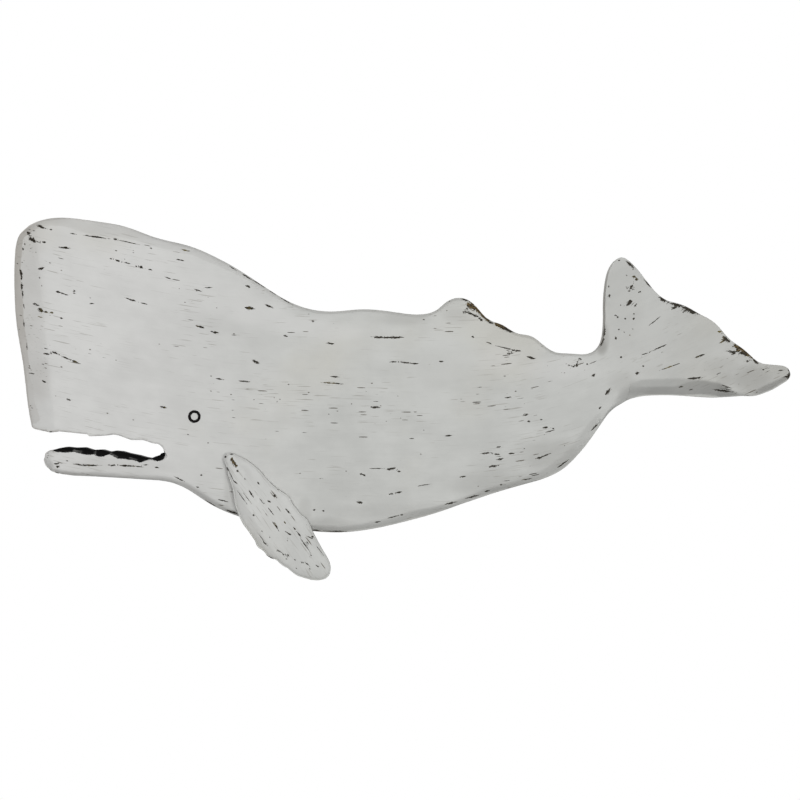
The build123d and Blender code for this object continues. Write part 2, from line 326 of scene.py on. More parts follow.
def paintMaterial():
    look = whitewash
    material, start, shader = newMaterial("whitewashedWood")
    names = ("wear", "bare", "lip", "smear", "shade", "lift", "edge", "edgeTone", "rear")
    values = [start.node("ShaderNodeAttribute", {"attribute_name": name}, output="Fac") for name in names]
    wear, bare, lip, smear, shade, lift, edge, edgeTone, rear = values
    flow = start.node("ShaderNodeAttribute", {"attribute_name": "flow"}, output="Vector")
    mark = start.node("ShaderNodeAttribute", {"attribute_name": "mark"}, output="Vector")
    along, across, outside = [start.node("ShaderNodeSeparateXYZ", {}, {"Vector": mark}, axis) for axis in "XYZ"]
    place = start.node("ShaderNodeTexCoord", output="Object")
    east = start.node("ShaderNodeSeparateXYZ", {}, {"Vector": place}, "X")

    streak = flow.stretch(52, 620, 620).grain(2.0, 0.55)
    cluster = flow.stretch(8, 17, 17).grain(2.0)
    brush = flow.stretch(9, 210, 210).grain(4.0, 0.65)
    grit = place.grain(3.0, 0.6, 520.0)
    cloud = place.grain(3.0, 0.55, 8.0)
    mottle = flow.stretch(26, 46, 46).grain(4.0, 0.6)
    flake = flow.stretch(430, 900, 900).cells()[1].part("Red")

    # large chips are placed spindles with flaked edges
    spindle = 1 - start.math("ABSOLUTE", across, 0.0) - along * along * 0.7
    ragged = spindle + (flake - 0.5) * 0.75 + (streak - 0.5) * 0.5 + (grit - 0.5) * 0.7
    near = 1 - outside.step(0.7, 1.5)
    placed = ragged.step(0.14, 0.24) * near

    # small ones are dashes along the grain, in clusters, with specks and hairlines
    far, dashColour = flow.stretch(54, 520, 520).cells()
    picked = (dashColour.part("Red") + (cluster - 0.5) * 0.7 + wear * 0.13).step(1.0, 1.01)
    dash = (dashColour.part("Green") * 0.34 + 0.08 - far + (grit - 0.5) * 0.2).step(0.0, 0.06) * picked
    gap, speckColour = flow.stretch(270, 520, 520).cells()
    speckPicked = (speckColour.part("Red") + (cluster - 0.5) * 0.1).step(0.992, 0.996)
    speck = (speckColour.part("Green") * 0.3 + 0.12 - gap).step(0.0, 0.06) * speckPicked
    small = start.math("MAXIMUM", dash, speck)
    hair = flow.stretch(26, 760, 760).grain(2.0, 0.5).step(0.62, 0.74) * (cluster + wear * 0.12).step(0.40, 0.60)
    scratch = flow.stretch(30, 540, 540).grain(1.0, 0.5).step(0.69, 0.73) * (cluster + wear * 0.1).step(0.42, 0.58)

    bareMask = (bare * 0.85 + (flake - 0.5) * 0.7 + (grit - 0.5) * 0.5).step(0.42, 0.5) * bare.step(0.05, 0.25)
    lipMask = (lip + (flake - 0.5) * 0.4 + (grit - 0.5) * 0.5).step(0.45, 0.58)
    rearMask = (rear + (brush - 0.5) * 0.5).step(0.4, 0.6)

    # the coat of paint, dimmed towards the tail as painted fall-off of light, with its stains, painted shade on
    # edges, facets and walls, and thin lines
    coat = ((brush - 0.5) * 0.22 + (cloud - 0.5) * 1.4 + (mottle - 0.5) * 0.8 + 0.52).step(0.1, 0.9)
    nearPaint, tailDimmedPaint = coat.blend(look["dull"], look["light"]), coat.blend(look["dullTailDimmed"], look["lightTailDimmed"])
    # painted fall-off of light: the coat darkens from head to tail
    paint = east.step(-0.26, 0.05).blend(nearPaint, tailDimmedPaint)
    paint = (place.grain(2.0, 0.5, 6.0).step(0.52, 0.75) * look["stainShare"]).blend(paint, look["stain"])
    paint = lift.blend(paint, look["light"])
    # painted shade: the shade values and the bevel's crisp edge darken the paint towards the shade tone, warmer on
    # the snout
    shadow = start.math("MAXIMUM", shade, edge.step(-0.2, 0.5) * edgeTone)
    paint = shadow.blend(paint, east.step(-0.36, -0.28).blend(look["shadeWarm"], look["cut"]))
    halo = start.math("MAXIMUM", hair * look["hairShare"], ragged.step(-0.3, 0.1) * near * look["haloShare"])
    paint = start.math("MAXIMUM", halo, scratch * look["scratchShare"]).blend(paint, look["thin"])

    # what shows under it
    umber = east.step(-0.22, -0.02).blend(look["umber"], look["umberFar"])
    under = place.grain(2.0, 0.5, 48.0).step(0.60, 0.72).blend(umber, look["olive"])
    smallTone = dashColour.part("Blue").step(0.4, 0.95).blend(look["grey"], look["umber"])
    bareWood = (streak * 0.5 + grit * 0.5).step(0.45, 0.57).blend(look["umber"], look["bare"])
    plank = flow.stretch(2.2, 95, 95).grain(4.0, 0.6)
    backWood = plank.step(0.35, 0.65).blend(look["backDark"], look["backWood"])
    band = (smear * streak.step(0.40, 0.60) * look["smearShare"]).blend(look["black"], look["smear"])

    colour = small.blend(paint, smallTone)
    colour = bareMask.blend(colour, bareWood)
    colour = placed.blend(colour, under)
    colour = lipMask.blend(colour, band)
    colour = rearMask.blend(colour, backWood)
    chip = start.math("MAXIMUM", placed, small)
    height = brush * 0.05 + mottle * 0.2 + grit * 0.14 - chip * 0.9 - bareMask * 0.6
    relief = {"Strength": look["bumpStrength"], "Distance": look["bumpDepth"], "Height": height}
    start.feed(shader.inputs["Base Color"], colour)
    start.feed(shader.inputs["Roughness"], look["roughness"] + chip * 0.15 - (brush - 0.5) * 0.12)
    start.feed(shader.inputs["Normal"], start.node("ShaderNodeBump", {}, relief))
    shader.inputs["Specular IOR Level"].default_value = look["specular"]
    return material


# The body and flukes are carved as one skin, then cut at the glue lines
carving = {
    "nodes": ["upper_board", "middle_board", "lower_board", "tail_flukes"],
    "voxel": 0.0018, "smoothRounds": 3, "face": -0.045, "deepest": -0.012,
    "wallTurn": 0.35, "wallBand": (-0.026, -0.010),  # which points count as side walls
    "crownDepth": 0.0014, "crownWidth": 0.035, "waveDepth": 0.0008, "waveSize": 0.05, "eyeFlat": 0.0105,
    "upperGlue": 0.03525, "lowerGlue": -0.058,
    "tailTop": (0.353, 0.0037), "tailFoot": (0.389, -0.0635), "flukeLean": 0.0821,
    "slopeX": [-0.40, -0.20, -0.05, 0.16, 0.25, 0.36, 0.62],  # how the grain rises along the whale
    "slope": [-0.26, -0.18, -0.03, 0.00, 0.12, 0.42, 0.46],
    "nudges": [  # small shifts of the outline: centre, reach and shift in pixels of the picture
        (16, 325, 30, 115, -1.4, 0), (75, 221, 45, 12, 0, -0.7), (250, 280, 45, 25, 0.5, -0.8),
        (508, 330, 14, 10, 0.5, -0.9), (628, 285, 36, 36, 2.3, -0.3), (722, 333, 24, 22, 1.4, -1.0),
        (604, 335, 12, 22, 1.0, 0), (768, 362, 14, 6, 0, 0.8), (765, 391, 18, 8, 0.3, 2.0),
        (735, 396, 14, 5, 0, -0.8), (574, 456, 26, 22, 0.9, 0.9), (498, 494, 36, 12, 0.2, 0.8),
        (48, 452.4, 5, 4, -1.8, -0.8),
    ],
}

# The mouth's edges as hand-cut lines, and where the jaw is flat and black, in pixels of the picture
mouth = {
    "upper": [
        (30, 428), (42, 430.8), (50, 432.5), (58, 431.3), (87, 434.2), (89, 436.2), (103, 435.8), (113, 434.6),
        (118, 435.3), (124, 437.5), (131, 440), (143, 440), (148, 441.7), (153, 443.3), (157.5, 443.8),
        (161, 446),
    ],
    "jaw": [
        (50, 451.2), (53.3, 449.7), (58.3, 448.2), (65, 447), (73.3, 447.9), (83.3, 447.6), (91.7, 450.2),
        (97.5, 449.9), (101.7, 449.9), (108.3, 451.9), (114.2, 450.9), (121.7, 451.6), (128.3, 453.6),
        (138.3, 455.6), (145, 457.6), (150.5, 458.4), (155, 456.4), (160, 455), (164, 454.4),
    ],
    "tip": [
        (58, 446), (52.6, 449.2), (46, 452.4), (42.8, 456.6), (42.8, 460.6), (44.8, 465.6), (50.4, 470.8),
        (60, 474.4),
    ],
    "under": [
        (50, 469.5), (54, 471.8), (60, 474), (72.5, 475.7), (94.5, 476.6), (127.5, 478.5), (158, 480.5),
        (171, 483.3),
    ],
    "end": [
        (160.6, 442), (161, 446), (163.4, 450), (164.4, 454), (164.4, 457), (162, 461),
    ],
    "band": [
        (51.7, 450.6), (56.7, 451.7), (63.3, 452.1), (70.8, 451.7), (75, 451.4), (79.2, 453), (85, 454.4),
        (90, 454.6), (93.7, 453.6), (95.8, 455.3), (99.2, 456.8), (102.5, 456.5), (105.8, 455), (108.3, 454.1),
        (111.7, 454.7), (114.2, 456.3), (118.3, 458.3), (125, 458.8), (131.7, 459.3), (136.7, 461),
        (140, 462.2), (145, 460.4), (150, 458.9), (152.5, 459.3), (155, 460.5), (159.2, 460.7), (162.5, 459.4),
        (164.2, 457), (165.4, 452),
    ],
    "smears": [
        (73, 450.8, 80, 452, 2.2), (94, 452.4, 95, 455, 1.6), (110, 453.6, 117, 457.4, 1.8),
        (129, 458, 136, 459.8, 1.3),
    ],
    "reach": 0.009, "tipX": -0.3578, "tipShare": 0.92, "fade": {"upper": 0.001, "jaw": 0.001, "under": 0.022},
    "flatFrom": 49, "flatFull": 56, "flatTo": 172, "blackFrom": 51, "blackFull": 54, "blackTo": 164.9,
}


def flowAlong(x, y, z):
    grid = np.linspace(-0.45, 0.65, 500)
    slope = np.interp(grid, carving["slopeX"], carving["slope"])
    rise = np.concatenate([[0], np.cumsum((slope[1:] + slope[:-1]) / 2 * np.diff(grid))])
    return np.stack([x, z - np.interp(x, grid, rise), y], axis=1)


def edgeLine(x, z, chosen, count=70):
    # the mean height of the chosen points along x
    slots = np.linspace(x[chosen].min(), x[chosen].max(), count)
    index = np.digitize(x[chosen], slots)
    held = np.bincount(index, minlength=count + 1)
    mean = np.bincount(index, z[chosen], minlength=count + 1) / np.maximum(held, 1)
    middle = np.bincount(index, x[chosen], minlength=count + 1) / np.maximum(held, 1)
    return np.interp(x, middle[held > 0], mean[held > 0])


def shapeMouth(places, normals):
    # pulls the slot's edges to the hand-cut lines, and rounds its end and the jaw's tip
    moved = places.copy()
    x, _, z = moved.T
    onJaw = (z < -0.117) & (z > -0.170)
    tip = mouth["tipX"] - x[onJaw].min()
    moved[:, 0] += tip * ease(-x, 0.30, 0.345) * ease(-z, 0.112, 0.120)
    x, _, z = moved.copy().T
    wall = np.abs(normals[:, 1]) < carving["wallTurn"]
    inside = wall & (x > -0.378) & (x < -0.206) & (z < -0.085) & (z > -0.140)
    under = wall & (x > -0.345) & (x < -0.195) & (z < -0.140) & (z > -0.185)
    facingDown, facingUp = normals[:, 2] < -0.6, normals[:, 2] > 0.6
    sides = {"upper": inside & facingDown, "jaw": inside & facingUp, "under": under & facingDown}
    for name, turned in sides.items():
        line = edgeLine(x, z, turned)
        low, high = eastOf(mouth[name][0][0]), eastOf(mouth[name][-1][0])
        window = ease(x, low - 0.002, low + 0.007) * (1 - ease(x, high - mouth["fade"][name], high + 0.003))
        near = np.exp(-((z - line) / mouth["reach"]) ** 2) * window
        moved[:, 2] += (polylineHeight(x, mouth[name]) - line) * near
    end = wall & (normals[:, 0] < -0.7) & (x > -0.215) & (x < -0.192) & (z > -0.131) & (z < -0.1195)
    endX = x[end].mean()
    points = traced(mouth["end"])[::-1]
    push = np.interp(moved[:, 2], points[:, 1], points[:, 0] - endX, left=0, right=0)
    moved[:, 0] += push * (1 - ease(x, endX + 0.002, endX + 0.018)) * (x > endX - 0.0012)
    limits = traced(mouth["tip"])[::-1]
    over = np.maximum(np.interp(moved[:, 2], limits[:, 1], limits[:, 0]) - moved[:, 0], 0)
    atTip = (moved[:, 0] < -0.325) & (moved[:, 2] < limits[-1, 1]) & (moved[:, 2] > limits[0, 1])
    moved[:, 0] += mouth["tipShare"] * over * atTip
    return moved


# The chiselled bevel: its width along the back and the belly, its depth, where the edge is only eased,
# and the facets under the right fluke. Lines are in pixels of the picture.
bevel = {
    "backX": [-0.40, -0.335, -0.284, -0.25, -0.21, -0.16, -0.09, 0.00, 0.36],
    "backWidth": [0.011, 0.012, 0.016, 0.016, 0.013, 0.009, 0.006, 0.003, 0.003],
    "bellyX": [-0.36, -0.25, -0.10, 0.02, 0.12, 0.20, 0.26, 0.29, 0.32, 0.345, 0.37, 0.385],
    "bellyWidth": [0.006, 0.006, 0.008, 0.009, 0.010, 0.009, 0.010, 0.012, 0.016, 0.015, 0.010, 0.005],
    "snoutWidth": 0.0105, "lipWidth": 0.0015, "flukeWidth": 0.003, "waver": 0.3,
    "depth": 0.011, "steep": 0.95, "shallow": 0.45,
    "slantFrom": (13.0, 239.0), "slantTo": (37.4, 217.0), "slantShare": 0.85,
    "easedFrom": -0.15, "easedTo": -0.06, "backRound": 0.0055, "flukeRound": 0.0022,
    "facetLine": [
        (608, 409), (615, 400), (621, 392), (627, 386), (635, 381.6), (642, 379.6), (650, 378.8), (680, 378.2),
        (703, 379.6), (720, 382.5), (734, 390.5), (742, 394),
    ],
    "stepLine": [
        (608, 410), (617, 401), (625, 391.6), (634, 387.6), (650, 386.6), (676, 386.4), (690, 381.5),
        (703, 380.2), (720, 383), (734, 391), (742, 394),
    ],
    "tipLine": [
        (742, 394.2), (757, 389.4), (769, 383.4), (780, 378), (794, 371.4),
    ],
    "rootFrom": 600, "underFrom": 612, "rootTo": 652, "softCorner": (622, 391, 16, 15, 1.0),
    "facetSlope": 0.85, "stepSlope": 0.5, "tipSlope": 1.2, "tipReach": 0.0038,
    # painted shade on the facets under the right fluke and its tip
    "facetShade": 0.06, "stepShade": 0.12, "tipShade": 0.3,
}


def trimForehead(places):
    # the forehead's corner is cut to a blunt slant
    moved = places.copy()
    start, end = traced((bevel["slantFrom"], bevel["slantTo"]))
    outward = np.array([start[1] - end[1], end[0] - start[0]]) / np.linalg.norm(end - start)
    over = np.maximum((places[:, [0, 2]] - start) @ outward, 0) * (places[:, 0] < -0.30) * (places[:, 2] > 0.10)
    moved[:, [0, 2]] -= bevel["slantShare"] * over[:, None] * outward
    return moved


def bevelWidths(x, wall, wallNormals):
    onBack, onBelly = [np.interp(x, bevel[side + "X"], bevel[side + "Width"]) for side in ("back", "belly")]
    width = np.where(wallNormals[:, 2] > 0, onBack, onBelly)
    width[(wallNormals[:, 0] < -0.75) & (x < -0.33)] = bevel["snoutWidth"]
    wallX, wallZ = wall[:, 0], wall[:, 2]
    inLips = (wallX < eastOf(168)) & (wallZ < polylineHeight(wallX, mouth["upper"]) + 0.005)
    inLips &= wallZ > polylineHeight(wallX, mouth["jaw"]) - np.where(wallX > eastOf(100), 0.009, 0.005)
    width[inLips] = bevel["lipWidth"]
    return width


def measureBody(places, normals):
    # what the carving and the painting need to know of each point
    x, y, _ = places.T
    low, high = carving["wallBand"]
    isWall = (np.abs(normals[:, 1]) < carving["wallTurn"]) & (y > low) & (y < high)
    rim, wall, wallNormals = nearestWall(places, normals, isWall)
    inward = np.abs(np.sum((wall - places)[:, [0, 2]] * wallNormals[:, [0, 2]], axis=1))
    top, foot = np.array(carving["tailTop"]), np.array(carving["tailFoot"])
    down = (foot - top) / np.linalg.norm(foot - top)
    outside = (places[:, [0, 2]] - top) @ np.array([-down[1], down[0]])
    onFlukes = ease(outside, -0.004, 0.006)
    swell = noiseAt(places, 0.06, 0.5, 0.06, 2.9) + 0.5 * noiseAt(places, 0.021, 0.5, 0.021, 7.3)
    width = bevelWidths(x, wall, wallNormals) * (1 - onFlukes) + bevel["flukeWidth"] * onFlukes
    return SimpleNamespace(
        places=places, normals=normals, wallNormals=wallNormals, onFlukes=onFlukes,
        rim=np.where(rim < 0.012, np.minimum(rim, inward), rim), width=width * (1 + bevel["waver"] * swell),
        front=ease(-normals[:, 1], 0.15, 0.6), frontSide=(normals[:, 1] < 0.3) & (y < carving["deepest"]),
        face=carving["face"] + np.maximum(outside, 0) * carving["flukeLean"], bandZ=polylineHeight(x, mouth["band"]),
    )


def cutBevels(body):
    # flat bevels along the head, belly and tail stock, in wavering chisel cuts
    x, y, _ = body.places.T
    onTop = ease(body.wallNormals[:, 2], 0.2, 0.6) * ease(x, -0.375, -0.345)
    onTop = np.maximum(onTop, 0.7 * ease(x, 0.22, 0.30))
    slope = bevel["steep"] + (bevel["shallow"] - bevel["steep"]) * onTop
    depth = np.minimum(bevel["depth"], body.width * slope)
    cutAway = depth * np.maximum(1 - body.rim / body.width, 0) ** np.where(x < -0.36, 1.0, 1.25)
    return np.where((body.rim < body.width) & body.frontSide, np.maximum(y, body.face + cutAway), y)


def flattenJaw(body, depth):
    # below the black band the jaw's face is flat
    x, _, z = body.places.T
    start, full, end = [eastOf(mouth[name]) for name in ("flatFrom", "flatFull", "flatTo")]
    flat = (x > start) & (x < end) & (z < body.bandZ + 0.001) & (z > body.bandZ - 0.008) & (body.normals[:, 1] < -0.2)
    rise = np.where(flat, 1 - ease(z - body.bandZ, -0.0008, 0.001), 0) * ease(x, start, full)
    return depth + (np.minimum(body.face, depth) - depth) * rise


def easeEdges(body, depth):
    # along the back and the flukes the edge is only eased
    x, _, z = body.places.T
    radius = bevel["backRound"] * (1 - body.onFlukes) + bevel["flukeRound"] * body.onFlukes
    inRound = np.clip(radius - body.rim, 0, None)
    eased = body.face + radius - np.sqrt(np.maximum(radius ** 2 - inRound ** 2, 0))
    underFluke = (x > eastOf(bevel["underFrom"])) & (polylineHeight(x, bevel["facetLine"]) - z > -0.006)
    onBack = ease(x, bevel["easedFrom"], bevel["easedTo"]) * (body.wallNormals[:, 2] > 0.1)
    share = np.maximum(onBack, body.onFlukes * (~underFluke)) * (body.normals[:, 1] < -0.05) * (body.rim < 0.014)
    return depth * (1 - share) + np.minimum(eased, depth) * share


def cutFacets(body, depth):
    # the facets under the right fluke and its tip, and the painted shade that darkens them
    x, y, z = body.places.T
    root = (x > eastOf(bevel["rootFrom"])) & (x < eastOf(bevel["rootTo"])) & (body.rim > 0.002)
    root &= (body.normals[:, 1] < 0.6) & (y < -0.02) & (polylineHeight(x, bevel["facetLine"]) - z > -0.002)
    depth = np.where(root, body.face, depth)
    shade = np.zeros(len(x))
    for name in ("facet", "tip"):
        line = bevel[name + "Line"]
        start, end = eastOf(line[0][0]), eastOf(line[-1][0])
        lower = (polylineHeight(x, bevel["stepLine"]) - z) * (name == "facet")
        fall = (polylineHeight(x, line) - z) * bevel[name + "Slope"] * ease(x, start + 0.004, start + 0.028)
        fall = fall + np.maximum(lower, 0) * bevel["stepSlope"]
        inside = (x > start) & (x < end) & (body.normals[:, 1] < 0.3) & (fall > 0)
        depth = np.where(inside, np.maximum(depth, np.minimum(body.face + fall, carving["deepest"])), depth)
        amount = bevel[name + "Shade"] + bevel["stepShade"] * ease(lower, 0, 0.0012)
        shade = np.maximum(shade, inside * ease(x, start, start + 0.03) * amount)
    return depth, shade


def crownFace(body, depth):
    # the face swells a little towards its middle, and waves
    wave = noiseAt(body.places, carving["waveSize"], carving["waveSize"], carving["waveSize"])
    crown = carving["crownDepth"] * (1 - np.clip(body.rim / carving["crownWidth"], 0, 1)) ** 2
    return depth + body.front * np.maximum(crown + carving["waveDepth"] * (wave + 0.5), 0)


def eyeZone(body):
    # the points around the eye's ring, and a border whose depth they take
    x, y, z = body.places.T
    ring = readPoints(nodes["eye_ring"].data)[0]
    middle = (ring.min(axis=0) + ring.max(axis=0)) / 2
    apart = np.hypot(x - middle[0], z - middle[2])
    border = (apart > carving["eyeFlat"]) & (apart < carving["eyeFlat"] + 0.003) & (body.front > 0.9)
    return (apart < carving["eyeFlat"]) & (y < -0.030), border
